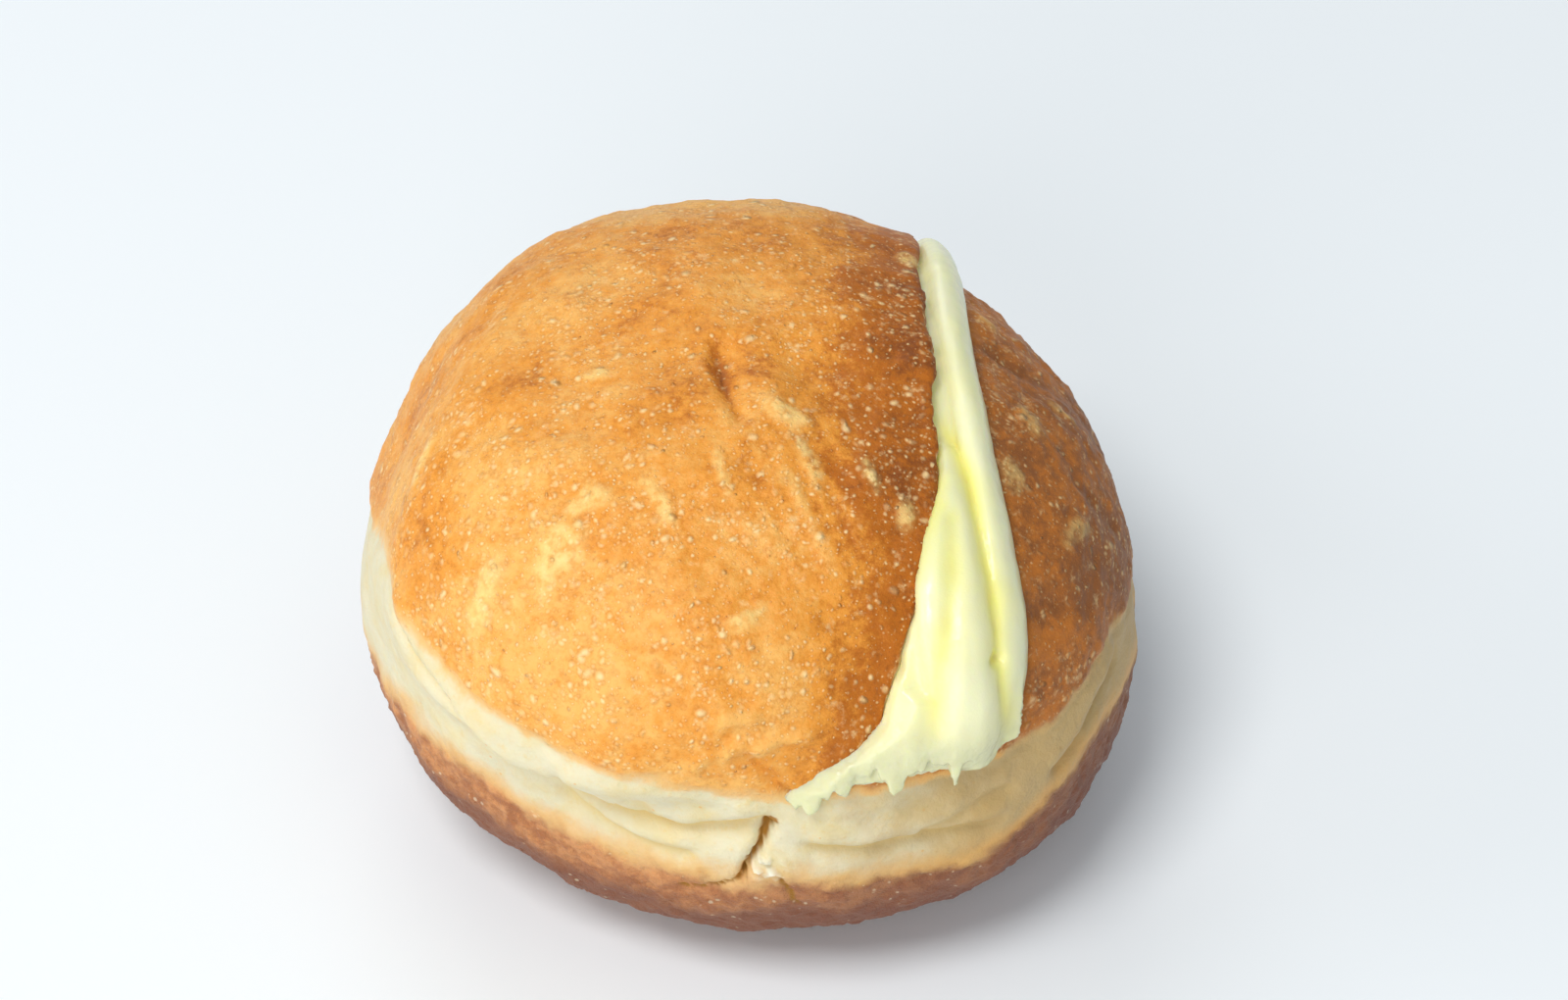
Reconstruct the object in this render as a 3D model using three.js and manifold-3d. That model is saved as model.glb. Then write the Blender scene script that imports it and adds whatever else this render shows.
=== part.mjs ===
// A cream-filled yeast doughnut: one ball of fried dough, cut from the top into its right side,
// with piped custard cream filling the cut and standing proud of it.
// Millimetres, +Z up, -Y is the side where the cut runs down the front. The origin is at the
// centre of the bounding box's base, on the surface that the doughnut rests on.
import * as THREE from "three";
import { mergeVertices } from "three/addons/utils/BufferGeometryUtils.js";
import Module from "manifold-3d";

const wasm = await Module();
wasm.setup();

// A lobe is a squashed ball. It is widest at the height `level`, and reaches `up` above that and
// `down` below it. `power` above 2 makes it fuller than an ellipsoid, and `sway` gives its outline
// two and three gentle waves: [cos 2a, sin 2a, cos 3a, sin 3a] as shares of the radius.
const BOWL_SWAY = [0.014, -0.032, -0.015, -0.013];
const LID_SWAY = [0.011, 0.011, 0.028, 0];
const BOWL = { x: 0, y: 0, level: 28, radius: 45.7, up: 14, down: 33, power: 2.4, sway: BOWL_SWAY };
const LID = { x: -0.9, y: -1.4, level: 39, radius: 44.6, up: 28.9, down: 11, power: 2.3, sway: LID_SWAY };
const FLAP = { x: -0.5, y: -0.6, level: 33.5, radius: 45, up: 30.9, down: 10.5, power: 2.3, sway: BOWL_SWAY };
const ROUND = 64; // segments round a lobe
const RISE = 18; // steps up a lobe's profile

// The cut is a V-shaped groove swept round an axis along X. Its angle is 0 at the top and grows
// towards the front.
const AXIS_HEIGHT = 30;
const ROOT_RADIUS = 8; // where the two cut faces meet, from the axis
const ROOT_WIDTH = 1; // how far apart they still are there
const LID_CUT_ROOT = 1; // the lid's own cut goes this near to the axis
const CUT_FLOOR = 33; // the groove stops at this height, front and back
const CUT_LEAN = 0.43; // how far the lid's cut face moves sideways for each millimetre outwards
const OUTSIDE = 62; // past every surface of the dough
const ARC_STEPS = 120; // segments round the cutting ring
const CRUST_RADIUS = 38; // about where the crust lies from the axis

// The lid's lip and the flap's edge: [angle in degrees, x at the crust].
const LIP = [
  [-90, 15], [-60, 17.5], [-41, 19], [-18, 19.4], [0, 20], [21, 21],
  [32, 20.5], [43, 18.9], [57, 16.1], [71, 13.4], [80, 7], [90, 2.5],
];
const EDGE = [
  [-90, 19], [-60, 21], [-41, 22], [-18, 23], [0, 24], [21, 25.5],
  [38, 26.5], [54, 28], [71, 28.2], [90, 26.5],
];

// The piped strokes of cream: [angle, x, radius].
const BEAD = [
  [-62, 21, 1.8], [-41, 22, 2.2], [-18, 23.2, 2.6], [0, 23.8, 3], [15, 24.8, 3.2],
  [38, 26.5, 3], [54, 28, 2.8], [66, 28.8, 2.3], [76, 29.2, 1.4],
];
const RIDGE = [
  [18, 20.3, 1.5], [28, 20.4, 2.4], [39, 21, 3.4], [49, 21.6, 4.2],
  [58, 22.3, 5], [67, 23.4, 5.5], [78, 24.8, 4.6],
];
const STROKE_SINK = 1.2; // how far a stroke's centre line lies under the crust
const FILL_SINK = 0.8; // how far the filling between the lips stays under the crust
const TUBE_SIDES = 14;
const TUBE_STEPS = 28;

// The end of the piping, pressed flat over the flap at the front.
const SKIRT = { x: 17.2, y: -39.2, z: 37.4, wide: 11.4, deep: 4.2, tall: 6, turn: 22 };

const CLEARANCE = 0.3; // between the cream and the dough

const DOUGH = new THREE.MeshStandardMaterial({ color: 0xc9833c, roughness: 0.75, metalness: 0 });
const CREAM = new THREE.MeshStandardMaterial({ color: 0xf0ecae, roughness: 0.35, metalness: 0 });

function toSolid(geometry) {
  const bare = geometry.clone();
  bare.deleteAttribute("normal");
  bare.deleteAttribute("uv");
  const merged = mergeVertices(bare, 1e-3);
  return new wasm.Manifold(
    new wasm.Mesh({
      numProp: 3,
      vertProperties: merged.attributes.position.array,
      triVerts: new Uint32Array(merged.index.array),
    }),
  );
}

function toGeometry(solid) {
  const mesh = solid.getMesh();
  const geometry = new THREE.BufferGeometry();
  geometry.setAttribute("position", new THREE.BufferAttribute(mesh.vertProperties, 3));
  geometry.setIndex(new THREE.BufferAttribute(mesh.triVerts, 1));
  geometry.computeVertexNormals();
  return geometry;
}

// Smooth interpolation at an angle through rows of [angle, value, ...].
function along(rows, angle, column = 1) {
  const last = rows.length - 1;
  if (angle <= rows[0][0]) return rows[0][column];
  if (angle >= rows[last][0]) return rows[last][column];
  const i = rows.findIndex((row) => row[0] > angle) - 1;
  const share = THREE.MathUtils.smoothstep(angle, rows[i][0], rows[i + 1][0]);
  return THREE.MathUtils.lerp(rows[i][column], rows[i + 1][column], share);
}

// A lobe's outline as a share of its radius, in the direction of (x, y).
function outline(sway, x, y) {
  const a = Math.atan2(y, x);
  const [cos2, sin2, cos3, sin3] = sway;
  return 1 + cos2 * Math.cos(2 * a) + sin2 * Math.sin(2 * a) + cos3 * Math.cos(3 * a) + sin3 * Math.sin(3 * a);
}

// A squashed ball, cut flat at the surface it rests on.
function lobe(shape, grow = 0) {
  const up = shape.up + grow;
  const down = shape.down + grow;
  const floor = Math.max(-down, -shape.level);
  const profile = [new THREE.Vector2(0, floor)];
  for (let i = 0; i < RISE; i++) {
    const steep = THREE.MathUtils.lerp(Math.asin(floor / down), Math.PI / 2, i / RISE);
    const height = Math.sin(steep) * (steep > 0 ? up : down);
    const width = (1 - Math.abs(Math.sin(steep)) ** shape.power) ** (1 / shape.power);
    if (width > 0) profile.push(new THREE.Vector2(width, height));
  }
  profile.push(new THREE.Vector2(0, up));
  const geometry = new THREE.LatheGeometry(profile, ROUND).rotateX(Math.PI / 2);
  const position = geometry.attributes.position;
  for (let i = 0; i < position.count; i++) {
    const [x, y] = [position.getX(i), position.getY(i)];
    const radius = (shape.radius + grow) * outline(shape.sway, x, y);
    position.setXY(i, x * radius, y * radius);
  }
  return toSolid(geometry.translate(shape.x, shape.y, shape.level));
}

// A ring round the cut's axis, between the lid's cut face and a face to its right.
function cutRing(rightFace, root, grow = 0) {
  const corners = [[root, 0], [OUTSIDE, 0], [OUTSIDE, 1], [root, 1], [root, 0]];
  const profile = corners.map(([radius, side]) => new THREE.Vector2(radius, side));
  const ring = new THREE.LatheGeometry(profile, ARC_STEPS).rotateZ(-Math.PI / 2);
  const position = ring.attributes.position;
  for (let i = 0; i < position.count; i++) {
    const [y, z] = [position.getY(i), position.getZ(i)];
    const radius = Math.hypot(y, z);
    const angle = THREE.MathUtils.radToDeg(Math.atan2(-y, z));
    const left = along(LIP, angle) + CUT_LEAN * (radius - CRUST_RADIUS);
    const right = rightFace(angle, radius, left);
    position.setX(i, position.getX(i) < 0.5 ? left + grow : right - grow);
  }
  return toSolid(ring.translate(0, 0, AXIS_HEIGHT));
}

// The flap's cut face, which meets the lid's at the root and opens towards the crust.
function flapFace(angle, radius, left) {
  const open = (radius - ROOT_RADIUS) / (CRUST_RADIUS - ROOT_RADIUS);
  return left + ROOT_WIDTH + (along(EDGE, angle) - along(LIP, angle)) * open;
}

function above(height) {
  const size = 4 * OUTSIDE;
  return toSolid(new THREE.BoxGeometry(size, size, size).translate(0, 0, height + size / 2));
}

// All of the fried dough: the bowl, the lid to the left of the cut and the flap to its right.
function makeDough(grow = 0) {
  const open = above(CUT_FLOOR + grow);
  const slit = cutRing(flapFace, ROOT_RADIUS, grow).intersect(open);
  const lid = lobe(LID, grow).subtract(cutRing(() => OUTSIDE, LID_CUT_ROOT, grow).intersect(open));
  return lobe(BOWL, grow).add(lobe(FLAP, grow)).add(lid).subtract(slit);
}

// How far a lobe's surface is from the cut's axis, at an angle and x.
function reach(shape, angle, x) {
  let [inside, outside] = [0, OUTSIDE];
  while (outside - inside > 0.01) {
    const radius = (inside + outside) / 2;
    const across = x - shape.x;
    const deep = -radius * Math.sin(angle) - shape.y;
    const height = AXIS_HEIGHT + radius * Math.cos(angle) - shape.level;
    const level = Math.hypot(across, deep) / (shape.radius * outline(shape.sway, across, deep));
    const rise = Math.abs(height) / (height > 0 ? shape.up : shape.down);
    if (level ** shape.power + rise ** shape.power < 1) inside = radius;
    else outside = radius;
  }
  return inside;
}

// A stroke of piped cream: a tube along the cut whose radius changes, with round ends.
function stroke(rows, shape) {
  const geometry = new THREE.SphereGeometry(1, TUBE_SIDES, TUBE_STEPS).rotateX(Math.PI / 2);
  const position = geometry.attributes.position;
  for (let i = 0; i < position.count; i++) {
    const [side, out] = [position.getX(i), position.getY(i)];
    const share = 0.5 + Math.asin(THREE.MathUtils.clamp(position.getZ(i), -1, 1)) / Math.PI;
    const angle = THREE.MathUtils.lerp(rows[0][0], rows[rows.length - 1][0], share);
    const radians = THREE.MathUtils.degToRad(angle);
    const ring = Math.hypot(side, out);
    const size = ring > 1e-6 ? (along(rows, angle, 2) * Math.min(1, 2 * Math.sqrt(ring) / 1.2)) / ring : 0;
    const middle = along(rows, angle);
    const radius = reach(shape, radians, middle) - STROKE_SINK + out * size;
    const x = middle + side * size;
    position.setXYZ(i, x, -radius * Math.sin(radians), AXIS_HEIGHT + radius * Math.cos(radians));
  }
  return toSolid(geometry);
}

function skirt() {
  return toSolid(
    new THREE.SphereGeometry(1, 2 * TUBE_SIDES, TUBE_SIDES)
      .scale(SKIRT.wide, SKIRT.deep, SKIRT.tall)
      .rotateZ(THREE.MathUtils.degToRad(SKIRT.turn))
      .translate(SKIRT.x, SKIRT.y, SKIRT.z),
  );
}

// The filling between the cut faces, the strokes on it, and none of the space near the dough.
function makeCream() {
  const fill = lobe(LID, -FILL_SINK)
    .add(lobe(BOWL, -FILL_SINK))
    .intersect(cutRing(flapFace, ROOT_RADIUS, CLEARANCE))
    .intersect(above(CUT_FLOOR + CLEARANCE));
  const piped = fill.add(stroke(BEAD, FLAP)).add(stroke(RIDGE, LID)).add(skirt());
  const pieces = piped.subtract(makeDough(CLEARANCE)).decompose();
  return pieces.reduce((best, piece) => (piece.volume() > best.volume() ? piece : best));
}

const doughnut = new THREE.Mesh(toGeometry(makeDough()), DOUGH);
doughnut.name = "doughnut";
const cream = new THREE.Mesh(toGeometry(makeCream()), CREAM);
cream.name = "cream_filling";

// The bounding box is centred over the origin.
const part = new THREE.Group();
part.add(doughnut, cream);
const box = new THREE.Box3().setFromObject(part);
part.position.set(-(box.min.x + box.max.x) / 2, -(box.min.y + box.max.y) / 2, 0);

export default part;
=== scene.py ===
"""A cream-filled yeast doughnut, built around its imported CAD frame.

The dough and the cream are each worked out as a signed distance field in millimetres, from the same
squashed balls and the same cut as the CAD part. A surface net turns each field into a mesh, relief
moves its vertices along their normals, and named vertex attributes say which part of the skin is
crust, pale waist or brown base. Procedural materials read those attributes.
"""

import math

import bpy
import numpy as np
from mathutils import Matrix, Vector, noise


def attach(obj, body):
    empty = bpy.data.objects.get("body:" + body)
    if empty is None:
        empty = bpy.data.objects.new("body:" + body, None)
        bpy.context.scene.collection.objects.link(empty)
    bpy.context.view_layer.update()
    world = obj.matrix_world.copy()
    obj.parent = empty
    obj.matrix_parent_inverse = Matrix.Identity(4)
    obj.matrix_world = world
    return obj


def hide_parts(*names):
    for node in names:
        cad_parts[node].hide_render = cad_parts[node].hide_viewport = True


MM = 0.001

# ---------------------------------------------------------------- shape, in millimetres

# A lobe is a squashed ball: widest at `level`, reaching `up` above and `down` below it.
BOWL_SWAY = (0.014, -0.032, -0.015, -0.013)
LID_SWAY = (0.011, 0.011, 0.028, 0.0)
BOWL = dict(x=0, y=0, level=28, radius=45.7, up=14, down=33, power=2.4, sway=BOWL_SWAY)
LID = dict(x=-0.9, y=-1.4, level=39, radius=44.6, up=28.9, down=11, power=2.3, sway=LID_SWAY)
FLAP = dict(x=-0.5, y=-0.6, level=33.5, radius=45, up=30.9, down=10.5, power=2.3, sway=BOWL_SWAY)
CENTRE = np.array((0.56, 0.05, 0.0))  # the CAD part is moved this far to centre its box

# The cut is swept round an axis along X. Its angle is 0 at the top and grows towards the front.
AXIS_HEIGHT = 30
ROOT_RADIUS = 8
ROOT_WIDTH = 1
CUT_FLOOR = 40
CUT_LEAN = 0.43
CRUST_RADIUS = 38
LIP_ROUND = 1.1  # how round the dough's cut edges are
WAIST_SOFT = 2.2  # how softly the lobes run into each other
SKIRT_RADIUS = 41  # about where the pressed cream lies from the axis
SKIRT_TOP = 64  # the angle at which the pressed cream starts
CREAM_GAP = 0.2  # how far the cream's surface stays from the dough's

# [angle, x] of the lid's lip and of the flap's cut edge.
LIP = [
    (-90, 15), (-60, 18.2), (-41, 20), (-18, 20.7), (0, 21.6), (12, 22.1), (21, 21.9),
    (32, 21.3), (38, 20.9), (43, 19.9), (51, 17.8), (57, 15.9), (65, 13.2), (71, 11.4),
    (74, 8.6), (76, 6), (80, 3.6), (86, 1), (92, 0),
]
EDGE = [
    (-90, 19), (-60, 21), (-41, 22), (-18, 23), (0, 24), (21, 25.5),
    (38, 26.5), (54, 28), (71, 28.2), (90, 26.5),
]

# Piped strokes: [angle, x, height over the flap's crust, half width, half height].
BEAD = [
    (-72, 20.8, -0.6, 2.2, 1.8), (-47, 22, 0.6, 2.4, 2.6), (-30, 22.6, 0.9, 2.4, 2.8),
    (-14, 23, 0.7, 2.35, 2.8), (0, 23.6, 0.4, 2.3, 2.8), (15, 24.7, 0.3, 2.3, 2.9),
    (30, 26.1, 0.2, 2.1, 3), (44, 27.5, 0.2, 2.2, 3), (54, 28.5, 0.1, 2.3, 3),
    (64, 28.7, -0.1, 2.3, 2.7), (70, 28.3, -0.5, 2.1, 2.2), (75.5, 27.6, -0.9, 1.7, 1.5),
]
RIDGE = [
    (18, 21.6, -2.4, 1.2, 1.4), (24, 22.2, -0.6, 1.6, 2), (30, 22.6, 0.1, 2.1, 2.6),
    (39, 22.9, 0.5, 2.7, 3.1), (49, 23.7, 0.8, 3.1, 3.3), (58, 24.5, 0.9, 3.3, 3.5),
    (66, 25.2, 0.9, 3.4, 3.6), (72, 25.6, 0.8, 3.4, 3.4), (76, 25.8, 0.2, 2.6, 2.4),
]
# [angle, height] of the filling between the strokes and the lid, over the flap's crust.
FILL = [
    (-90, -0.5), (-45, 1.6), (0, 1.4), (12, 1.2), (22, 0.2), (32, 0.4), (45, 1), (60, 1.4), (75, 1.7),
]

# The ragged lower edge of the cream: [x, angle].
HEM = [
    (0.6, 80), (1.8, 82.2), (3.2, 80.8), (5, 82.4), (6.6, 83.2), (7.6, 81.6), (9, 79), (10.2, 81),
    (11.4, 77.2), (13.6, 76.4), (14.8, 77.4), (15.9, 81.4), (16.8, 78.6), (18.4, 76.8), (20.4, 76),
    (21.8, 76.6), (22.8, 81), (23.6, 76.8), (25, 76.6), (26.6, 76.8), (28, 76), (28.8, 71), (29, 64),
    (29.4, 50),
]
HEM_SPREAD = 5  # the hem is smoothed as a curve over x times this
# A shallow valley down the filling, left of the ridge: [x, angle * FLOW_SCALE].
FLOW_SCALE = 0.7
CREAM_VALLEY = [(22.4, 27), (22.2, 33), (21.6, 38.5), (20.8, 43), (20.2, 49)]

# Heights round the outside: [compass angle from +X, z].
CRUST_EDGE = [
    (-180, 36.8), (-173, 41.4), (-167, 44.4), (-156, 45.4), (-145, 45), (-136, 43.4), (-127, 42.2),
    (-116, 41.4), (-105, 40), (-95, 38.2), (-85, 37), (-60, 37), (-47, 37.4), (-38, 38.4),
    (-25, 38.7), (-12, 35.8), (0, 36.6), (30, 38), (80, 41), (130, 39), (150, 35.6), (168, 33.4),
    (180, 36.8),
]
BASE_START = [
    (-180, 23), (-167, 23.2), (-154, 26), (-139, 26.2), (-129, 24), (-117, 22.9), (-100, 21.6),
    (-84, 22.7), (-73, 22.1), (-55, 21.4), (-42, 26.3), (-25, 27.8), (-12, 27), (20, 25), (80, 24),
    (140, 25), (180, 23),
]

# Folds of the pale waist: depth, then a path of (compass angle, z).
FOLD_SCALE = 0.78  # millimetres round the waist for each degree
FOLDS = [
    (1.7, [(-158, 44.6), (-150, 43.1), (-140, 40.6), (-133, 37.6), (-127, 34.2), (-120, 31.8),
           (-112, 30.8), (-101, 30.4), (-96, 30.9), (-90, 32.6), (-86, 34.6)]),
    (0.8, [(-122, 30.4), (-116, 28.4), (-112, 26.9), (-105, 25.9), (-97, 26.2)]),
    (1.1, [(-84, 29.6), (-76, 28.2), (-70, 28.2), (-61, 27.8), (-52, 27.2)]),
    (0.7, [(-67, 29.2), (-58, 30.7), (-51, 31.8)]),
    (1.2, [(-46, 29.6), (-38, 31.2), (-33, 33.9), (-24, 35.4)]),
    (0.8, [(-119, 35.8), (-115, 33.4), (-112, 31.2)]),
    (0.5, [(-107, 35.2), (-105, 31.6)]),
    (1.1, [(-12, 32), (10, 31), (40, 32.4), (75, 34), (110, 34.5), (140, 36), (165, 38)]),
    (0.7, [(20, 28), (50, 27.4), (80, 29)]),
    (0.7, [(120, 30), (150, 31), (178, 33)]),
]

DIMPLE = [(-4.8, -1), (-4.1, -5), (-3.1, -10.5), (-1.1, -16.8)]  # (x, y) on the lid's top
TEAR = [(2.3, 33.4), (1.4, 31), (0.9, 28.6), (-0.4, 26), (-1.3, 22.9)]  # (x, z) on the front
CRACKS = [[(-1.3, 22.9), (-4.6, 20.8), (-8.5, 19.4)], [(3.2, 23.5), (4.4, 20.5), (5.2, 18)]]
# Crumpled loose skin low on the lid's front: paths of (x, z).
CRUMPLE_RIDGES = [
    [(-6, 42.8), (-4.6, 44), (-2, 45.8), (0, 44.9), (2.8, 46.4), (6, 46.3)],
    [(-3.2, 49), (-0.2, 49)],
]
CRUMPLE_VALLEYS = [[(-5.6, 42.4), (-4, 44.4), (-2.6, 46.8)], [(-0.8, 45.2), (1.2, 41.8), (4.4, 37.8)]]
FLAP_CREASES = [  # paths of (x, y)
    [(32, -27.6), (33.3, -26.8), (35, -25), (37.3, -23.8), (39, -21)],
    [(35.5, -6), (37.2, -9.1), (40.1, -10.1), (42, -9.6)],
    [(28, 8), (31, 6), (34, 6.5)],
]
# Pale thin-skinned patches on the crust: [x, y, half width, half depth, turn in degrees].
PALE_PATCHES = [
    (-29.5, -29.5, 1.3, 2.8, -25), (-21.6, -29.5, 3.2, 2.8, 20), (-18.5, -24.5, 2.6, 1.4, 20),
    (-38, -9, 0.9, 2.6, -20), (-18, -6, 1.4, 0.9, 0), (18.6, 17, 1, 1.8, 30), (32, -4, 1.4, 2.4, 20),
    (36, 2, 0.8, 1.6, 40), (29.5, -14, 1.2, 2, -10), (37, -16, 0.9, 2.2, -30),
    (27.5, 14, 0.9, 1.8, 40), (6, -19.5, 0.7, 3.8, 24), (3.6, -14, 2.6, 1.1, -30),
    (-3.6, -21.5, 0.6, 3, 14), (-10, -26, 0.8, 3.2, 30), (13, -21, 0.7, 2, 24), (17, -25, 1, 1.6, 0),
    (-1, -37.5, 2.2, 0.8, 20),
]


def smooth(low, high, value):
    share = np.clip((value - low) / (high - low), 0, 1)
    return share * share * (3 - 2 * share)


def curve(rows, column=1, soften=3, wraps=False):
    """A smooth function through rows of (angle, value, ...), in degrees."""
    table = np.array([(row[0], row[column]) for row in rows], float)
    angles = np.arange(-200, 201)
    period = 360 if wraps else None
    values = np.interp(angles, table[:, 0], table[:, 1], period=period)
    kernel = np.hanning(2 * soften + 1)[1:-1] if soften > 1 else np.ones(1)
    padded = np.pad(values, len(kernel) // 2, mode="edge")
    values = np.convolve(padded, kernel / kernel.sum(), mode="valid")
    return lambda angle: np.interp(angle, angles, values)


def bump(distance, width):
    return np.exp(-((distance / width) ** 2))


def blend_min(a, b, soft):
    h = np.clip(0.5 + 0.5 * (b - a) / soft, 0, 1)
    return b + (a - b) * h - soft * h * (1 - h)


def blend_max(a, b, soft):
    return -blend_min(-a, -b, soft)


def lobe(shape, x, y, z):
    """Signed distance to a lobe, to first order."""
    across, deep = x - shape["x"], y - shape["y"]
    a = np.arctan2(deep, across)
    cos2, sin2, cos3, sin3 = shape["sway"]
    sway = cos2 * np.cos(2 * a) + sin2 * np.sin(2 * a) + cos3 * np.cos(3 * a) + sin3 * np.sin(3 * a)
    radius = shape["radius"] * (1 + sway)
    height = z - shape["level"]
    reach = np.where(height > 0, shape["up"], shape["down"])
    power = shape["power"]
    level = np.hypot(across, deep) / radius + 1e-6
    rise = np.abs(height) / reach + 1e-6
    total = level**power + rise**power
    slope = np.sqrt((level ** (power - 1) / radius) ** 2 + (rise ** (power - 1) / reach) ** 2)
    return (total - total ** (1 - 1 / power)) / slope


lip_x, edge_x = curve(LIP), curve(EDGE)


def cut_coordinates(y, z):
    return np.degrees(np.arctan2(-y, z - AXIS_HEIGHT)), np.hypot(y, z - AXIS_HEIGHT)


def cut_faces(angle, radius):
    """x of the lid's cut face and of the flap's."""
    wobble = 0.2 * np.sin(0.31 * angle) + 0.1 * np.sin(0.83 * angle + 1) + 0.07 * np.sin(1.57 * angle)
    left = lip_x(angle) + CUT_LEAN * (radius - CRUST_RADIUS) + wobble * smooth(20, 36, radius)
    open_share = (radius - ROOT_RADIUS) / (CRUST_RADIUS - ROOT_RADIUS)
    return left, left + ROOT_WIDTH + (edge_x(angle) - lip_x(angle)) * open_share


def slit_field(x, angle, radius, z, root):
    """The open cut, down to `root` millimetres from its axis."""
    left, right = cut_faces(angle, radius)
    slit = np.maximum(np.maximum(left - x, x - right), CUT_FLOOR - z)
    return np.maximum(slit, root - radius)


def bowl_and_flap(x, y, z):
    return blend_min(lobe(BOWL, x, y, z), lobe(FLAP, x, y, z), WAIST_SOFT)


def whole_dough(x, y, z):
    """The ball of dough before it is cut."""
    return blend_min(bowl_and_flap(x, y, z), lobe(LID, x, y, z), WAIST_SOFT)


def dough_field(x, y, z):
    angle, radius = cut_coordinates(y, z)
    left, _ = cut_faces(angle, radius)
    lid = blend_max(lobe(LID, x, y, z), x - left, LIP_ROUND)
    body = blend_min(bowl_and_flap(x, y, z), lid, WAIST_SOFT)
    body = blend_max(body, -slit_field(x, angle, radius, z, ROOT_RADIUS), LIP_ROUND)
    return np.maximum(body, -z)


stroke_curves = {
    name: [curve(rows, column) for column in (1, 2, 3, 4)] + [rows[0][0], rows[-1][0]]
    for name, rows in (("bead", BEAD), ("ridge", RIDGE))
}
fill_height = curve(FILL)


def stroke(name, angle, x, height):
    """Signed distance to a piped stroke, whose section is an ellipse and whose ends are round."""
    middle, rise, wide, tall, first, last = stroke_curves[name]
    a, b = wide(angle), tall(angle)
    if name == "ridge":  # it spreads towards the lid and stays clear of the bead
        left_share = 1 + 0.9 * smooth(24, 50, angle)
        right_share = 1 - 0.22 * smooth(50, 64, angle)
        a = a * np.where(x < middle(angle), left_share, right_share)
    beyond = np.maximum(np.maximum(first - angle, angle - last), 0) * math.radians(CRUST_RADIUS)
    across = (x - middle(angle)) / a
    upward = (height - rise(angle)) / b
    size = np.sqrt(across**2 + upward**2 + (beyond / b) ** 2)
    return (size - 1) * np.minimum(a, b)


hem_angle = curve([(x * HEM_SPREAD, angle) for x, angle in HEM], soften=2)


def skirt_thickness(x, angle, left):
    """How thick the cream is where it is pressed flat over the cut's lower end."""
    per_degree = math.radians(SKIRT_RADIUS)
    jagged = 0.5 * np.sin(3.1 * x) + 0.4 * np.sin(5.3 * x + 1)
    below = (hem_angle(x * HEM_SPREAD) + jagged - angle) * per_degree
    beside = (x - left + 3 * smooth(66, 80, angle)) * 0.8
    above = (angle - SKIRT_TOP) * per_degree
    inside = np.minimum(np.minimum(1.6 * below, beside), above)
    folds = np.sin(0.75 * x + 0.18 * angle + 0.8) + 0.6 * np.sin(1.3 * x - 0.3 * angle)
    full = 1.3 + 1.1 * smooth(9, 19, x) + 0.32 * folds * smooth(70, 78, angle)
    full = full * (0.4 + 0.6 * smooth(-3.4, 1, x - left)) + 0.3 - 1.5 * smooth(23.5, 27, x)
    rounded = np.sqrt(np.clip(inside / 1.3, 0, 1))
    return np.where(inside > 0, full * rounded, 0.9 * inside)


def cream_field(x, y, z):
    angle, radius = cut_coordinates(y, z)
    left, _ = cut_faces(angle, radius)
    over_flap = lobe(FLAP, x, y, z)
    slit = slit_field(x, angle, radius, z, ROOT_RADIUS + 0.5) - 0.3
    cream = np.maximum(over_flap - fill_height(angle), slit)
    cream = blend_min(cream, stroke("bead", angle, x, over_flap), 0.7)
    cream = blend_min(cream, stroke("ridge", angle, x, over_flap), 0.6)
    skirt = whole_dough(x, y, z) - skirt_thickness(x, angle, left)
    cream = blend_min(cream, skirt, 1.4)
    return blend_max(cream, -CREAM_GAP - dough_field(x, y, z), 0.3)


# ---------------------------------------------------------------- meshes


def graded_axis(low, high, step_at):
    values = [low]
    while values[-1] < high:
        values.append(values[-1] + step_at(values[-1]))
    return np.array(values)


def surface_net(field, axes):
    """Points and quads of the field's zero surface, one point in each grid cell that it crosses."""
    grid = np.meshgrid(*axes, indexing="ij", sparse=True)
    values = field(*grid)
    inside = values < 0
    corners = [(i, j, k) for i in (0, 1) for j in (0, 1) for k in (0, 1)]
    nx, ny, nz = (n - 1 for n in values.shape)
    count = sum(inside[i : nx + i, j : ny + j, k : nz + k].astype(np.uint8) for i, j, k in corners)
    active = (count > 0) & (count < 8)
    cells = np.argwhere(active)
    at = {corner: values[tuple((cells + corner).T)] for corner in corners}
    total = np.zeros((len(cells), 3))
    hits = np.zeros(len(cells))
    for corner in corners:
        for axis in range(3):
            if corner[axis]:
                continue
            unit = np.eye(3, dtype=int)[axis]
            a, b = at[corner], at[tuple(np.array(corner) + unit)]
            crossed = (a < 0) != (b < 0)
            share = np.where(crossed, a / np.where(crossed, a - b, 1), 0)
            total += crossed[:, None] * (np.array(corner) + share[:, None] * unit)
            hits += crossed
    place = cells + total / hits[:, None]
    points = np.stack([np.interp(place[:, i], np.arange(len(axes[i])), axes[i]) for i in range(3)], 1)
    number = np.full(active.shape, -1)
    number[active] = np.arange(len(cells))
    quads = []
    for axis in range(3):
        lower = np.take(inside, range(inside.shape[axis] - 1), axis)
        upper = np.take(inside, range(1, inside.shape[axis]), axis)
        edges = np.argwhere(lower != upper)
        u, v = np.eye(3, dtype=int)[(axis + 1) % 3], np.eye(3, dtype=int)[(axis + 2) % 3]
        ring = np.stack([number[tuple((edges - step).T)] for step in (0 * u, u, u + v, v)], 1)
        solid_below = lower[tuple(edges.T)]
        quads.append(np.where(solid_below[:, None], ring, ring[:, ::-1]))
    return points, np.concatenate(quads)


def slope_at(field, points, step=0.08):
    columns = []
    for axis in range(3):
        offset = np.eye(3)[axis] * step
        columns.append((field(*(points + offset).T) - field(*(points - offset).T)) / (2 * step))
    return np.stack(columns, 1)


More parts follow.
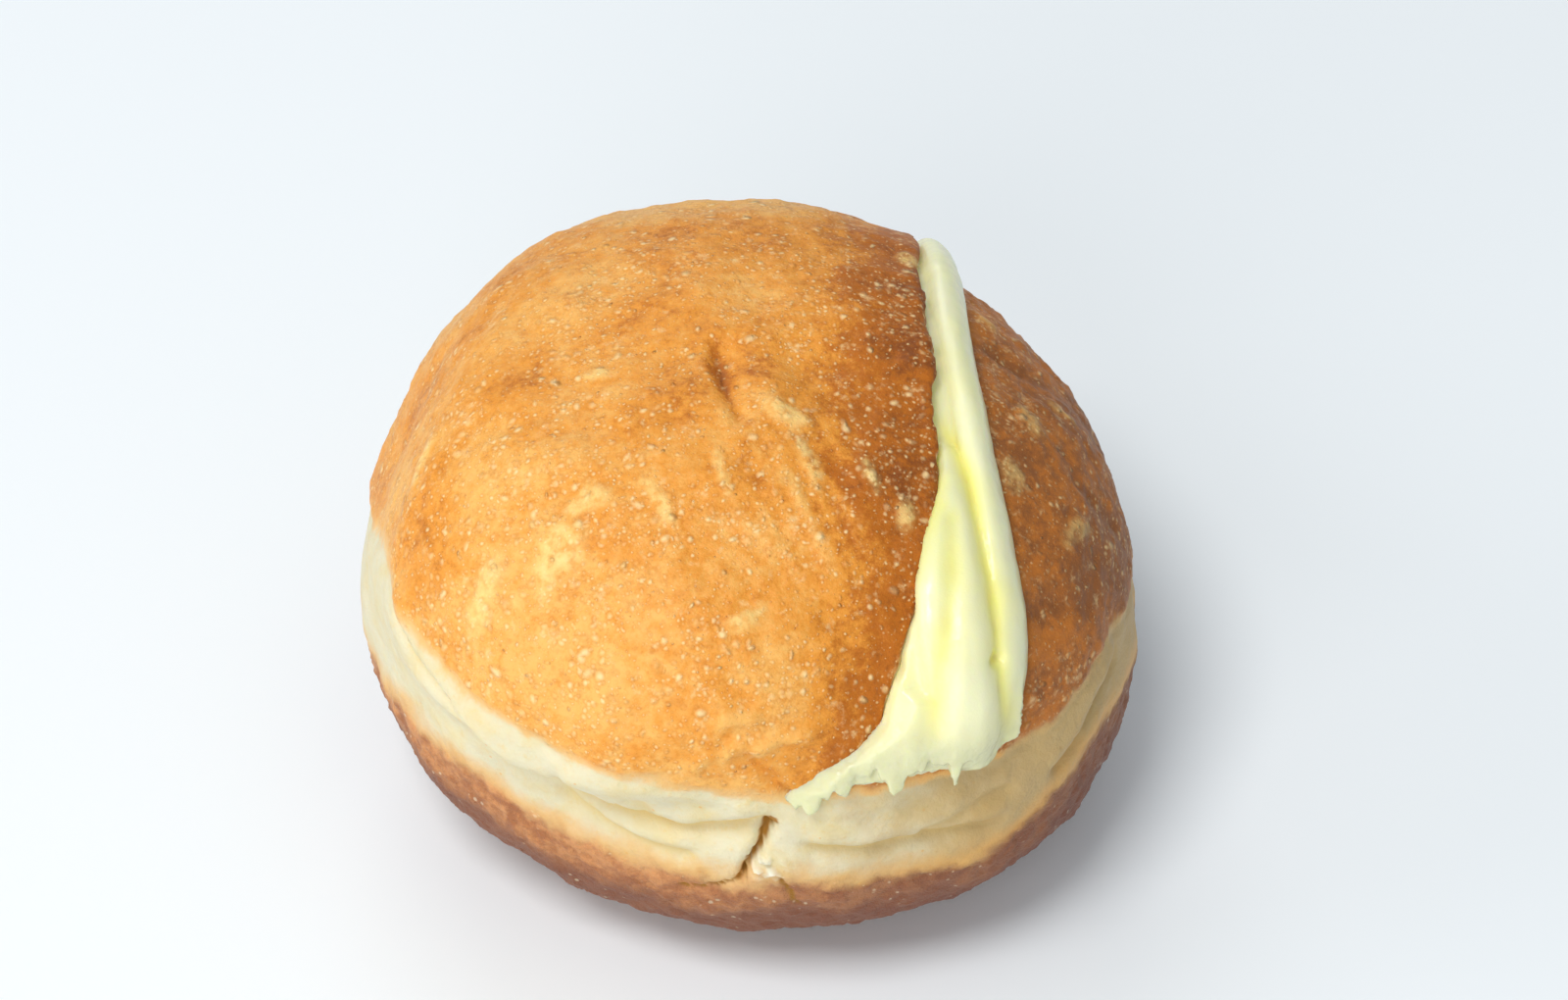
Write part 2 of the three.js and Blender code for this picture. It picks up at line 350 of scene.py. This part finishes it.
def settle(field, points, rounds=3, farthest=0.4):
    """Moves points onto the field's zero surface. Returns them and their outward normals."""
    for _ in range(rounds):
        slope = slope_at(field, points)
        steep = (slope**2).sum(1)
        move = -field(*points.T) / np.maximum(steep, 0.2)
        step = slope * move[:, None]
        size = np.linalg.norm(step, axis=1, keepdims=True)
        points = points + step * np.minimum(1, farthest / np.maximum(size, 1e-9))
    slope = slope_at(field, points, 0.2)
    return points, slope / np.linalg.norm(slope, axis=1, keepdims=True)


def rough(points, size, seed, octaves=2):
    """Fractal noise from about -1 to 1. size is its largest features' width, or one for each axis."""
    places = points / np.array(size) + np.array((7.3, 1.9, 4.1)) * seed
    return np.array([noise.fractal(place, 1, 2, octaves) for place in places.tolist()])


def make_mesh(name, points, quads, attributes):
    mesh = bpy.data.meshes.new(name)
    mesh.from_pydata(((points + CENTRE) * MM).tolist(), [], quads.tolist())
    for key, values in attributes.items():
        layer = mesh.attributes.new(key, "FLOAT", "POINT")
        layer.data.foreach_set("value", np.asarray(values, np.float32))
    mesh.shade_smooth()
    mesh.update()
    piece = bpy.data.objects.new(name, mesh)
    bpy.context.collection.objects.link(piece)
    return piece


# ---------------------------------------------------------------- the dough


def path_distance(a, b, path):
    """Distance from points (a, b) to a line through `path`, their side of it, and how far along."""
    best = np.full(len(a), 1e9)
    side = np.zeros(len(a))
    along = np.zeros(len(a))
    spans = list(zip(path[:-1], path[1:]))
    for i, ((a0, b0), (a1, b1)) in enumerate(spans):
        da, db = a1 - a0, b1 - b0
        share = np.clip(((a - a0) * da + (b - b0) * db) / (da * da + db * db), 0, 1)
        gap = np.hypot(a - a0 - share * da, b - b0 - share * db)
        nearer = gap < best
        turn = (a - a0) * db - (b - b0) * da
        best = np.where(nearer, gap, best)
        side = np.where(nearer, np.sign(turn), side)
        along = np.where(nearer, (i + share) / len(spans), along)
    return best, side, along


def near_paths(a, b, paths, width):
    """1 on any of the paths, falling away within about `width` millimetres."""
    return np.max([bump(path_distance(a, b, path)[0], width) for path in paths], axis=0)


# The next four functions each return relief in millimetres, then values for the attributes.


def waist_folds(points, compass):
    """The folds drop steeply on one side, swell on the other and die out at their ends. Their mask
    also paints shade into each fold.
    """
    relief = np.zeros(len(points))
    crease_shade = np.zeros(len(points))
    around = compass * FOLD_SCALE + 0.5 * rough(points, 3, 9)
    height = points[:, 2] + 0.4 * rough(points, 5, 16)
    for deep, path in FOLDS:
        path = [(a * FOLD_SCALE, b) for a, b in path]
        gap, side, along = path_distance(around, height, path)
        ends = smooth(0, 0.12, along) * smooth(1, 0.88, along)
        relief -= deep * ends * bump(gap, np.where(side < 0, 0.7, 1.7))
        relief += 0.5 * deep * ends * np.where(side < 0, bump(gap - 2.4, 1.8), 0)
        # This mask is painted shade along the fold.
        crease_shade = np.maximum(crease_shade, min(1, 0.8 * deep) * ends * bump(gap, 1.0))
    return relief, crease_shade


def top_marks(points):
    """The top's dimple, the smooth pad on its right, and wrinkles that fan out from the pad."""
    x, y, z = points.T
    top = smooth(45, 58, z)
    gap, side, along = path_distance(x + 0.5 * rough(points, 4, 10), y, DIMPLE)
    ends = smooth(0, 0.3, along) * smooth(1, 0.86, along)
    dimple = np.where(side < 0, bump(gap, 2.4), bump(gap, 0.7)) * ends * top
    # Painted shade along the dimple's steep left wall.
    shade = bump(gap, 0.7) * ends * top
    pad = bump(np.hypot((x - 1.8) / 4.2, (y + 12) / 3.8), 1) * top
    across = (x - 2) * 0.86 + (y + 14) * 0.5
    down = (x - 2) * 0.5 - (y + 14) * 0.86
    fan = bump(np.hypot((across + 1) / 6.5, (down - 10) / 10), 1) * top
    streak = fan * rough(np.stack([across, down * 0.12, 0 * x], 1), 1.5, 11)
    return 0.5 * pad - dimple + 0.35 * streak, shade, pad, streak


def crumpled_skin(points):
    """Loose skin where the lid turns down at the front. Its ridges also carry painted highlight and
    its valleys painted shade.
    """
    x, y, z = points.T
    loose = smooth(-34, -38, y)
    lifted = near_paths(x, z, CRUMPLE_RIDGES, 0.9) * loose
    sunk = near_paths(x, z, CRUMPLE_VALLEYS, 0.6) * loose
    return 0.8 * lifted - 0.7 * sunk, lifted, sunk


def torn_waist(points):
    """The tear in the front of the waist, two cracks that run from it, and crumbs on its right."""
    x, y, z = points.T
    front = smooth(-34, -38, y)
    jag = 0.25 * rough(points, 0.9, 13, 1)
    gap, _, along = path_distance(x + jag, z, TEAR)
    tear = bump(gap, 0.65 - 0.25 * along) * front
    cracks = near_paths(x + jag, z + jag, CRACKS, 0.4) * front
    flakes = bump(np.hypot((x - 1.6) / 1.6, (z - 25.4) / 1.8), 1) * front * (1 - tear)
    flakes *= smooth(0, 0.2, rough(points, 0.8, 14, 1))
    relief = 0.9 * flakes - 2.4 * tear * smooth(0.02, 0.12, along) - 0.55 * cracks
    # The tear and its cracks are painted dark: painted shade.
    return relief, np.clip(np.maximum(tear, 0.8 * cracks), 0, 1), flakes


def pale_patches(points):
    """How much of a pale patch's thin skin is at each point, from 0 to 1."""
    x, y, z = points.T
    pale = np.zeros(len(x))
    uneven = 1 + 0.5 * rough(points, 3, 15)
    for middle_x, middle_y, wide, deep, turn in PALE_PATCHES:
        cos, sin = math.cos(math.radians(turn)), math.sin(math.radians(turn))
        over = (x - middle_x) * cos + (y - middle_y) * sin
        up = (y - middle_y) * cos - (x - middle_x) * sin
        spread = np.hypot(over / wide, up / deep) * uneven
        pale = np.maximum(pale, smooth(1.45, 0.5, spread) * (z > 35))
    return pale


def dough_skin(points):
    """The dough's relief in millimetres along its normals, and its vertex attributes."""
    x, y, z = points.T
    compass = np.degrees(np.arctan2(y, x))
    angle, radius = cut_coordinates(y, z)
    left, right = cut_faces(angle, radius)
    on_lid = 2 * x < left + right
    depth = -np.where(on_lid, whole_dough(x, y, z), bowl_and_flap(x, y, z))
    wander = rough(points, 9, 1) * 1.3 + rough(points, 2.5, 2) * 0.5
    over_edge = z - curve(CRUST_EDGE, wraps=True)(compass) + wander
    over_base = z - curve(BASE_START, wraps=True)(compass) + 1.4 * rough(points, 7, 3)
    crust = smooth(-0.8, 0.8, over_edge)
    base = 1 - smooth(-2, 3, over_base)
    on_flap = smooth(0, 3, x - right)

    # The whole skin: slow waves, pimpled crust that steps down to the waist, and a rough base.
    pimples = (0.16 + 0.14 * on_flap) * rough(points, 1.7, 6)
    relief = 0.8 * rough(points, 17, 4) + 0.35 * rough(points, 6, 5)
    relief += crust * (pimples + 0.5 * smooth(0, 1.6, over_edge) - 0.3)
    relief -= 0.3 * bump(over_edge + 0.9, 0.7)
    relief += base * (0.3 * rough(points, 1.4, 7) + 0.15 * rough(points, 4.5, 8))

    fold_relief, crease_shade = waist_folds(points, compass)
    top_relief, shade, pad, streak = top_marks(points)
    crumple_relief, lifted, sunk = crumpled_skin(points)
    tear_relief, tear, flakes = torn_waist(points)
    pale = pale_patches(points)
    relief += fold_relief + top_relief + crumple_relief + tear_relief + 0.3 * pale * crust

    # The flap is creased and sits lower towards the back. The lid's far left side is pushed in.
    flap_side = on_flap * (1 - smooth(0, 1, depth))
    dents = near_paths(x, y, FLAP_CREASES, 1.1) * flap_side
    relief -= 0.45 * dents * smooth(34, 40, z)
    relief -= 0.7 * flap_side * smooth(10, -20, angle)
    dent = np.hypot((compass - 174 + 180) % 360 - 180, 1.3 * (z - 47))
    relief -= 3.4 * bump(dent, 15)

    # None of this reaches the cut's faces or the foot.
    relief *= (1 - smooth(0.3, 1.5, depth)) * smooth(0.2, 3.5, z)
    attributes = {
        "over_edge": over_edge,
        "over_base": over_base,
        "crumb": smooth(0.5, 1.2, depth),
        # Painted shade: the waist's folds, the flap's creases, the dimple's steep wall and the
        # crumpled skin's valleys are darkened in colour.
        "crease_shade": np.clip(crease_shade + 0.5 * dents + shade + 0.4 * sunk, 0, 1),
        "tear": tear,
        "flakes": flakes,
        # The crumpled ridges join the pad's paler colour as painted highlight.
        "pad": np.maximum(pad, 0.8 * lifted),
        "pale": pale,
        "streak": streak,
        "flap": smooth(0, 2, x - right + 1),
    }
    return relief, attributes


def make_dough():
    coarse = 1
    axes = [
        graded_axis(-48.5, 48.5, lambda x: 0.62 * coarse),
        graded_axis(-48.5, 47.5, lambda y: (0.55 + 0.5 * smooth(-5, 25, y)) * coarse),
        graded_axis(-1.55, 70, lambda z: (0.56 + 0.4 * smooth(22, 12, z)) * coarse),
    ]
    points, quads = surface_net(dough_field, axes)
    points, normals = settle(dough_field, points)
    relief, attributes = dough_skin(points)
    return make_mesh("dough", points + normals * relief[:, None], quads, attributes)


# ---------------------------------------------------------------- the cream


def make_cream():
    fine = 0.4
    axes = [
        graded_axis(-3, 35, lambda x: fine),
        graded_axis(-49, 44, lambda y: fine),
        graded_axis(20, 71, lambda z: fine),
    ]
    points, quads = surface_net(cream_field, axes)
    points, normals = settle(cream_field, points, farthest=0.25)
    x, y, z = points.T
    angle, radius = cut_coordinates(y, z)
    left, _ = cut_faces(angle, radius)
    flow = np.stack([x, angle * FLOW_SCALE, 0 * x], 1)
    streaks = rough(flow, (1.6, 22, 1), 21)
    end = smooth(66, 76, angle)
    lumps = rough(points, 1.3, 22) * end
    relief = 0.08 * streaks + 0.14 * lumps + 0.16 * rough(points, 4, 23)
    valley = near_paths(x, angle * FLOW_SCALE, [CREAM_VALLEY], 1.5) * smooth(33, 38, radius)
    relief -= 0.55 * valley
    pit = bump(np.hypot(x - 27.3, (angle - 60.5) * FLOW_SCALE), 0.75)
    relief -= 0.8 * pit * smooth(36, 39, radius)

    # Painted shade in the creases, where the cream is painted a deeper yellow: between the strokes, by
    # the lid's lip, in the valley.
    over_flap = lobe(FLAP, x, y, z)
    apart = np.maximum(stroke("bead", angle, x, over_flap), stroke("ridge", angle, x, over_flap))
    by_lip = bump(dough_field(x, y, z) + 0.2, 1.3) * smooth(2.5, -0.5, x - left) * bump(angle - 34, 22)
    groove_shade = np.maximum(np.maximum(bump(apart, 1.4), 0.9 * by_lip), 0.6 * valley)
    attributes = {"end": end, "groove_shade": groove_shade}
    return make_mesh("piped_cream", points + normals * relief[:, None], quads, attributes)


# ---------------------------------------------------------------- materials


class Nodes:
    """Short ways to add and join shader nodes."""

    def __init__(self, material):
        material.use_nodes = True
        self.tree = material.node_tree
        self.tree.nodes.clear()

    def add(self, kind, settings=None, **inputs):
        node = self.tree.nodes.new("ShaderNode" + kind)
        for key, value in (settings or {}).items():
            setattr(node, key, value)
        for key, value in inputs.items():
            self.put(node.inputs[key.replace("_", " ")], value)
        return node

    def put(self, socket, value):
        if isinstance(value, bpy.types.NodeSocket):
            self.tree.links.new(value, socket)
        else:
            socket.default_value = value

    def math(self, operation, a, b, clamp=False):
        node = self.add("Math", {"operation": operation, "use_clamp": clamp})
        self.put(node.inputs[0], a)
        self.put(node.inputs[1], b)
        return node.outputs[0]

    def plus(self, a, b, clamp=False):
        return self.math("ADD", a, b, clamp)

    def minus(self, a, b):
        return self.math("SUBTRACT", a, b)

    def times(self, a, b, clamp=False):
        return self.math("MULTIPLY", a, b, clamp)

    def attribute(self, name):
        return self.add("Attribute", {"attribute_name": name}).outputs["Fac"]

    def place(self):
        return self.add("TexCoord").outputs["Object"]

    def noise(self, size, detail=3.0, roughness=0.5):
        """Noise from 0 to 1. size is the width of its largest features in millimetres."""
        node = self.add("TexNoise", Vector=self.place(), Detail=detail, Roughness=roughness)
        node.inputs["Scale"].default_value = 1 / (size * MM)
        return node.outputs["Fac"]

    def wobble(self, size, amount, detail=3.0, roughness=0.5):
        """Noise centred on 0, `amount` from end to end."""
        return self.times(self.minus(self.noise(size, detail, roughness), 0.5), amount)

    def cells(self, size, place=None):
        node = self.add("TexVoronoi", Vector=place or self.place())
        node.inputs["Scale"].default_value = 1 / (size * MM)
        return node

    def ramp(self, value, low, high, to_low=0.0, to_high=1.0):
        node = self.add("MapRange", {"interpolation_type": "SMOOTHSTEP"}, Value=value)
        limits = {"From Min": low, "From Max": high, "To Min": to_low, "To Max": to_high}
        for key, number in limits.items():
            self.put(node.inputs[key], number)
        return node.outputs[0]

    def less_on_flap(self, share, left):
        """`share`, cut down to `left` of itself on the flap."""
        return self.times(share, self.ramp(self.attribute("flap"), 0.0, 1.0, 1.0, left), True)

    def mix(self, share, a, b):
        node = self.add("Mix", {"data_type": "RGBA"})
        self.put(node.inputs[0], share)
        self.put(node.inputs[6], a)
        self.put(node.inputs[7], b)
        return node.outputs[2]

    def finish(self, colour, height, roughness, sockets):
        """A Principled shader with relief from `height` in metres, as the material's surface."""
        relief = self.add("Bump", Height=height, Strength=1.0, Distance=1.0)
        shader = self.add("BsdfPrincipled", Base_Color=colour, Normal=relief.outputs[0])
        shader.inputs["Roughness"].default_value = roughness
        for key, value in sockets.items():
            shader.inputs[key].default_value = value
        self.add("OutputMaterial", Surface=shader.outputs[0])


def paint(red, green, blue):
    return (red, green, blue, 1.0)


CRUST_PALE = paint(0.90, 0.475, 0.125)
CRUST_GOLD = paint(0.82, 0.32, 0.042)
CRUST_BROWN = paint(0.50, 0.145, 0.013)
CRUST_DARK = paint(0.25, 0.07, 0.014)
BLISTER_SKIN = paint(0.97, 0.70, 0.34)
FLAP_VEIL = paint(0.58, 0.34, 0.14)
PATCH_SKIN = paint(0.98, 0.72, 0.27)
WAIST_PALE = paint(0.775, 0.70, 0.48)
WAIST_DEEP = paint(0.76, 0.615, 0.30)
WAIST_MOTTLE_AND_FOLD_SHADE = paint(0.80, 0.56, 0.17)
WAIST_TAN_AND_SHADE = paint(0.55, 0.36, 0.14)
BASE_GOLD = paint(0.80, 0.42, 0.11)
BASE_RED = paint(0.67, 0.30, 0.115)
BASE_BROWN = paint(0.41, 0.155, 0.06)
BASE_DARK = paint(0.21, 0.075, 0.042)
TEAR_SHADE = paint(0.40, 0.18, 0.025)
FLAKE_WHITE = paint(0.97, 0.92, 0.76)
CRUMB_WHITE = paint(0.92, 0.82, 0.58)


# Blisters: [spacing in millimetres, largest radius as a share of the spacing, strength].
BLISTERS = [(0.55, 0.5, 0.9), (0.9, 0.48, 1.0), (1.5, 0.42, 1.0), (2.6, 0.3, 1.0), (4.4, 0.2, 0.9)]


def browning_and_painted_light(n, x, y, over_edge):
    """How toasted the crust is, with painted shade in its creases and painted light towards the back:
    about 0 is golden, 1 is brown and 2 is dark.
    """
    toast_and_painted_light = n.plus(n.plus(n.times(x, 8.0), n.times(y, 2.0)), 0.4)
    toast_and_painted_light = n.plus(toast_and_painted_light, n.ramp(x, 0.005, 0.019, 0.0, 0.95))
    # Paler towards the back: painted light.
    toast_and_painted_light = n.minus(toast_and_painted_light, n.ramp(y, 0.005, 0.035, 0.0, 0.6))
    front_left = n.times(n.ramp(y, -0.02, -0.04, 0.0, 0.3), n.ramp(x, 0.012, 0.0))
    toast_and_painted_light = n.minus(toast_and_painted_light, front_left)
    toast_and_painted_light = n.plus(toast_and_painted_light, n.wobble(13, 2.7))
    toast_and_painted_light = n.plus(toast_and_painted_light, n.wobble(1.7, 2.7, 6, 0.75))
    # Painted shade browns the crust in its creases.
    toast_and_painted_light = n.plus(toast_and_painted_light, n.times(n.attribute("crease_shade"), 0.8))
    # The pad is paler; the crumpled ridges in it are painted highlight.
    toast_and_painted_light = n.minus(toast_and_painted_light, n.times(n.attribute("pad"), 0.5))
    toast_and_painted_light = n.minus(toast_and_painted_light, n.times(n.attribute("streak"), 1.3))
    return n.minus(toast_and_painted_light, n.ramp(over_edge, 5.0, 0.0, 0.0, 0.35))


def add_blisters(n, crust, place):
    """Blisters of five sizes, each a paler skin with a browner ring. Returns colour and height."""
    crowding = n.ramp(n.noise(8, 2), 0.35, 0.62, 0.65, 1.1)
    height = None
    for size, share, strength in BLISTERS:
        swirl = n.add("TexNoise", Vector=place, Scale=300 / size).outputs["Color"]
        cells = n.cells(size, n.mix(0.0015 * size, place, swirl))
        kind = n.add("SeparateColor", Color=cells.outputs["Color"])
        reach = n.times(n.ramp(kind.outputs[0], 0.1, 1.0, 0.2, 1.0), share)
        edge = n.math("DIVIDE", cells.outputs["Distance"], n.times(reach, crowding))
        dome = n.ramp(edge, 1.0, 0.2)
        ring = n.times(n.ramp(edge, 1.6, 1.1), n.ramp(edge, 0.75, 1.0))
        paleness = n.ramp(kind.outputs[1], 0.0, 1.0, 0.15 * strength, 0.85 * strength)
        crust = n.mix(n.times(ring, 0.18 * strength), crust, CRUST_BROWN)
        crust = n.mix(n.less_on_flap(n.times(dome, paleness), 0.7), crust, BLISTER_SKIN)
        lift = n.times(dome, 0.085 * size * MM)
        height = lift if height is None else n.plus(height, lift)
    return crust, height


def crust_layer(n, place, x, y, over_edge):
    toast_and_painted_light = browning_and_painted_light(n, x, y, over_edge)
    crust = n.mix(n.ramp(toast_and_painted_light, -0.6, 0.5), CRUST_PALE, CRUST_GOLD)
    crust = n.mix(n.ramp(toast_and_painted_light, 0.3, 1.15), crust, CRUST_BROWN)
    crust = n.mix(n.ramp(toast_and_painted_light, 1.1, 2.0), crust, CRUST_DARK)
    crust, height = add_blisters(n, crust, place)
    blotch = n.ramp(n.noise(2.2, 5, 0.65), 0.57, 0.75)
    crust = n.mix(n.times(blotch, 0.5), crust, BLISTER_SKIN)
    crust = n.mix(n.times(n.attribute("flap"), 0.12), crust, FLAP_VEIL)
    patch = n.times(n.attribute("pale"), n.ramp(n.noise(1.1, 4), 0.3, 0.6, 0.15, 0.65))
    return n.mix(n.less_on_flap(patch, 0.55), crust, PATCH_SKIN), height


def waist_layer(n, x):
    """Pale skin with painted shade in its folds, with pores, and tanned and darkened by painted shade
    towards the right.
    """
    waist = n.mix(n.ramp(n.noise(4, 4), 0.35, 0.75, 0.0, 0.65), WAIST_PALE, WAIST_DEEP)
    # One colour serves a random deeper mottle and the painted shade in the folds.
    waist = n.mix(n.ramp(n.noise(1.4, 6, 0.75), 0.5, 0.72, 0.0, 0.4), waist, WAIST_MOTTLE_AND_FOLD_SHADE)
    waist = n.mix(n.times(n.attribute("crease_shade"), 0.9, True), waist, WAIST_MOTTLE_AND_FOLD_SHADE)
    pores = n.cells(3.0).outputs["Distance"]
    waist = n.mix(n.ramp(pores, 0.09, 0.04, 0.0, 0.6), waist, BASE_GOLD)
    # Darker towards the right: partly real tan, partly painted shade on the side away from the lights.
    right_side = n.plus(x, n.wobble(5, 0.03, 4))
    return n.mix(n.ramp(right_side, 0.002, 0.03, 0.0, 0.9), waist, WAIST_TAN_AND_SHADE)


def base_layer(n, x, over_base):
    """Mottled brown, darker towards the foot, darker towards the right as painted shade, with pale
    flecks.
    """
    base = n.mix(n.ramp(n.noise(3.2, 6, 0.65), 0.38, 0.64), BASE_BROWN, BASE_RED)
    base = n.mix(n.ramp(over_base, -3.0, -9.0, 0.0, 0.85), base, BASE_DARK)
    # Darker towards the right: painted shade.
    base = n.mix(n.ramp(x, -0.02, 0.032, 0.0, 0.75), base, BASE_DARK)
    fleck_size = n.ramp(n.noise(3, 2), 0.4, 0.7, -0.05, 0.25)
    past_fleck = n.minus(n.cells(1.3).outputs["Distance"], fleck_size)
    return n.mix(n.ramp(past_fleck, 0.05, -0.1, 0.0, 0.4), base, CRUMB_WHITE)


def dough_material():
    material = bpy.data.materials.new("fried_dough")
    n = Nodes(material)
    place = n.place()
    split = n.add("SeparateXYZ", Vector=place)
    x, y = split.outputs["X"], split.outputs["Y"]
    over_edge, over_base = n.attribute("over_edge"), n.attribute("over_base")

    # Base, waist and crust run into each other along ragged edges.
    fade = n.plus(over_base, n.wobble(4.5, 5.0, 5, 0.6))
    ragged = n.plus(over_edge, n.wobble(2.2, 2.6, 4, 0.6))
    crust, blisters = crust_layer(n, place, x, y, over_edge)
    skin = n.mix(n.ramp(fade, 4.6, 0.4, 0.0, 0.75), waist_layer(n, x), BASE_GOLD)
    skin = n.mix(n.ramp(fade, 1.6, -1.8), skin, base_layer(n, x, over_base))
    rim = n.less_on_flap(n.ramp(ragged, -1.2, 0.4, 0.0, 0.75), 0.3)
    skin = n.mix(rim, skin, CRUST_PALE)
    skin = n.mix(n.ramp(ragged, 0.0, 2.0), skin, crust)
    # Painted shade inside the tear and its cracks.
    skin = n.mix(n.ramp(n.attribute("tear"), 0.25, 0.7), skin, TEAR_SHADE)
    skin = n.mix(n.attribute("flakes"), skin, FLAKE_WHITE)
    skin = n.mix(n.attribute("crumb"), skin, CRUMB_WHITE)

    fine = n.times(n.noise(0.7, 3, 0.6), 0.10 * MM)
    grain = n.times(n.noise(2.0, 4, 0.6), 0.28 * MM)
    height = n.plus(n.times(blisters, n.ramp(ragged, -0.5, 0.8)), n.plus(fine, grain))
    rough_base = n.times(n.noise(1.3, 4, 0.7), 0.5 * MM)
    height = n.plus(height, n.times(rough_base, n.ramp(fade, 0.8, -2.0)))
    n.finish(skin, height, 0.48, {
        "Specular IOR Level": 0.2,
        "Subsurface Weight": 0.12,
        "Subsurface Radius": (1.0, 0.45, 0.2),
        "Subsurface Scale": 2.0 * MM,
    })
    return material


CREAM_PALE = paint(0.925, 0.90, 0.58)
CREAM_DEEP_AND_GROOVE_SHADE = paint(0.95, 0.86, 0.22)
CREAM_END_SHADE = paint(0.68, 0.67, 0.40)


def cream_material():
    material = bpy.data.materials.new("custard_cream")
    n = Nodes(material)
    tone_and_shade = n.ramp(n.noise(9, 2), 0.35, 0.7, 0.0, 0.25)
    # Painted shade deepens the yellow in the grooves, on top of a random tone.
    tone_and_shade = n.plus(tone_and_shade, n.times(n.attribute("groove_shade"), 0.85), True)
    colour = n.mix(tone_and_shade, CREAM_PALE, CREAM_DEEP_AND_GROOVE_SHADE)
    # The cream's pressed end is painted darker: painted shade.
    colour = n.mix(n.times(n.attribute("end"), 0.8), colour, CREAM_END_SHADE)
    fine = n.times(n.noise(0.9, 3, 0.6), 0.05 * MM)
    lumps = n.times(n.noise(1.4, 2, 0.5), 0.2 * MM)
    height = n.plus(fine, n.times(lumps, n.attribute("end")))
    n.finish(colour, height, 0.27, {
        "IOR": 1.45,
        "Subsurface Weight": 0.5,
        "Subsurface Radius": (1.0, 0.8, 0.25),
        "Subsurface Scale": 3.0 * MM,
    })
    return material


def floor_material():
    material = bpy.data.materials.new("pale_floor")
    n = Nodes(material)
    shader = n.add("BsdfPrincipled")
    shader.inputs["Base Color"].default_value = paint(0.90, 0.93, 0.945)
    shader.inputs["Roughness"].default_value = 0.9
    n.add("OutputMaterial", Surface=shader.outputs[0])
    return material


# ---------------------------------------------------------------- the studio

# Lengths in metres.
CAMERA_TILT = math.radians(44)
CAMERA_DISTANCE = 0.56
CAMERA_TARGET = Vector((CENTRE[0] * MM, CENTRE[1] * MM, 0.030))
FLOOR_HALF = 4.0
SKY_COLOUR = paint(0.84, 0.93, 1.0)
SKY_STRENGTH = 0.35
# Round soft lights, aimed at the doughnut: name, place, watts, diameter.
LIGHTS = [
    ("key", (-0.36, -0.54, 1.32), 10.5, 0.55),
    ("front_fill", (-0.46, -1.2, 0.56), 6.6, 1.0),
    ("side_fill", (-1.2, -0.15, 0.68), 2.6, 0.75),
    ("back_fill", (-0.30, 1.27, 0.90), 4.3, 1.0),
]


def add_camera():
    data = bpy.data.cameras.new("camera")
    data.lens = 107.1
    data.sensor_width = 36
    data.shift_x = 0.02
    data.shift_y = 0.0419
    data.clip_start = 0.01
    camera = bpy.data.objects.new("camera", data)
    out = Vector((0, -math.cos(CAMERA_TILT), math.sin(CAMERA_TILT)))
    camera.location = CAMERA_TARGET + out * CAMERA_DISTANCE
    camera.rotation_euler = out.to_track_quat("Z", "Y").to_euler()
    bpy.context.collection.objects.link(camera)
    bpy.context.scene.camera = camera


def add_light(name, place, power, size):
    data = bpy.data.lights.new(name, "AREA")
    data.shape = "DISK"
    data.size = size
    data.energy = power
    light = bpy.data.objects.new(name, data)
    light.location = place
    light.rotation_euler = (Vector(place) - CAMERA_TARGET).to_track_quat("Z", "Y").to_euler()
    bpy.context.collection.objects.link(light)


def add_studio():
    mesh = bpy.data.meshes.new("floor")
    corners = [(x * FLOOR_HALF, y * FLOOR_HALF, 0) for x, y in ((-1, -1), (1, -1), (1, 1), (-1, 1))]
    mesh.from_pydata(corners, [], [(0, 1, 2, 3)])
    floor = bpy.data.objects.new("floor", mesh)
    floor.data.materials.append(floor_material())
    bpy.context.collection.objects.link(floor)
    world = bpy.data.worlds.new("studio")
    world.use_nodes = True
    sky = world.node_tree.nodes["Background"]
    sky.inputs["Color"].default_value = SKY_COLOUR
    sky.inputs["Strength"].default_value = SKY_STRENGTH
    bpy.context.scene.world = world
    for name, place, power, size in LIGHTS:
        add_light(name, place, power, size)
    bpy.context.scene.view_settings.view_transform = "Standard"


# ---------------------------------------------------------------- assembly

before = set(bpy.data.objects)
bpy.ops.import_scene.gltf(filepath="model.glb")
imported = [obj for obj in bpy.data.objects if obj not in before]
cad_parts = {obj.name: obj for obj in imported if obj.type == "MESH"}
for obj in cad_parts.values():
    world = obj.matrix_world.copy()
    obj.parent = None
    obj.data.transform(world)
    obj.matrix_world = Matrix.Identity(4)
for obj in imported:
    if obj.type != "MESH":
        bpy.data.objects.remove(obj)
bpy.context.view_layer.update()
add_camera()
add_studio()

dough = make_dough()
dough.data.materials.append(dough_material())
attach(dough, "root")
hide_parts("doughnut")

cream = make_cream()
cream.data.materials.append(cream_material())
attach(cream, "root")
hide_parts("cream_filling")
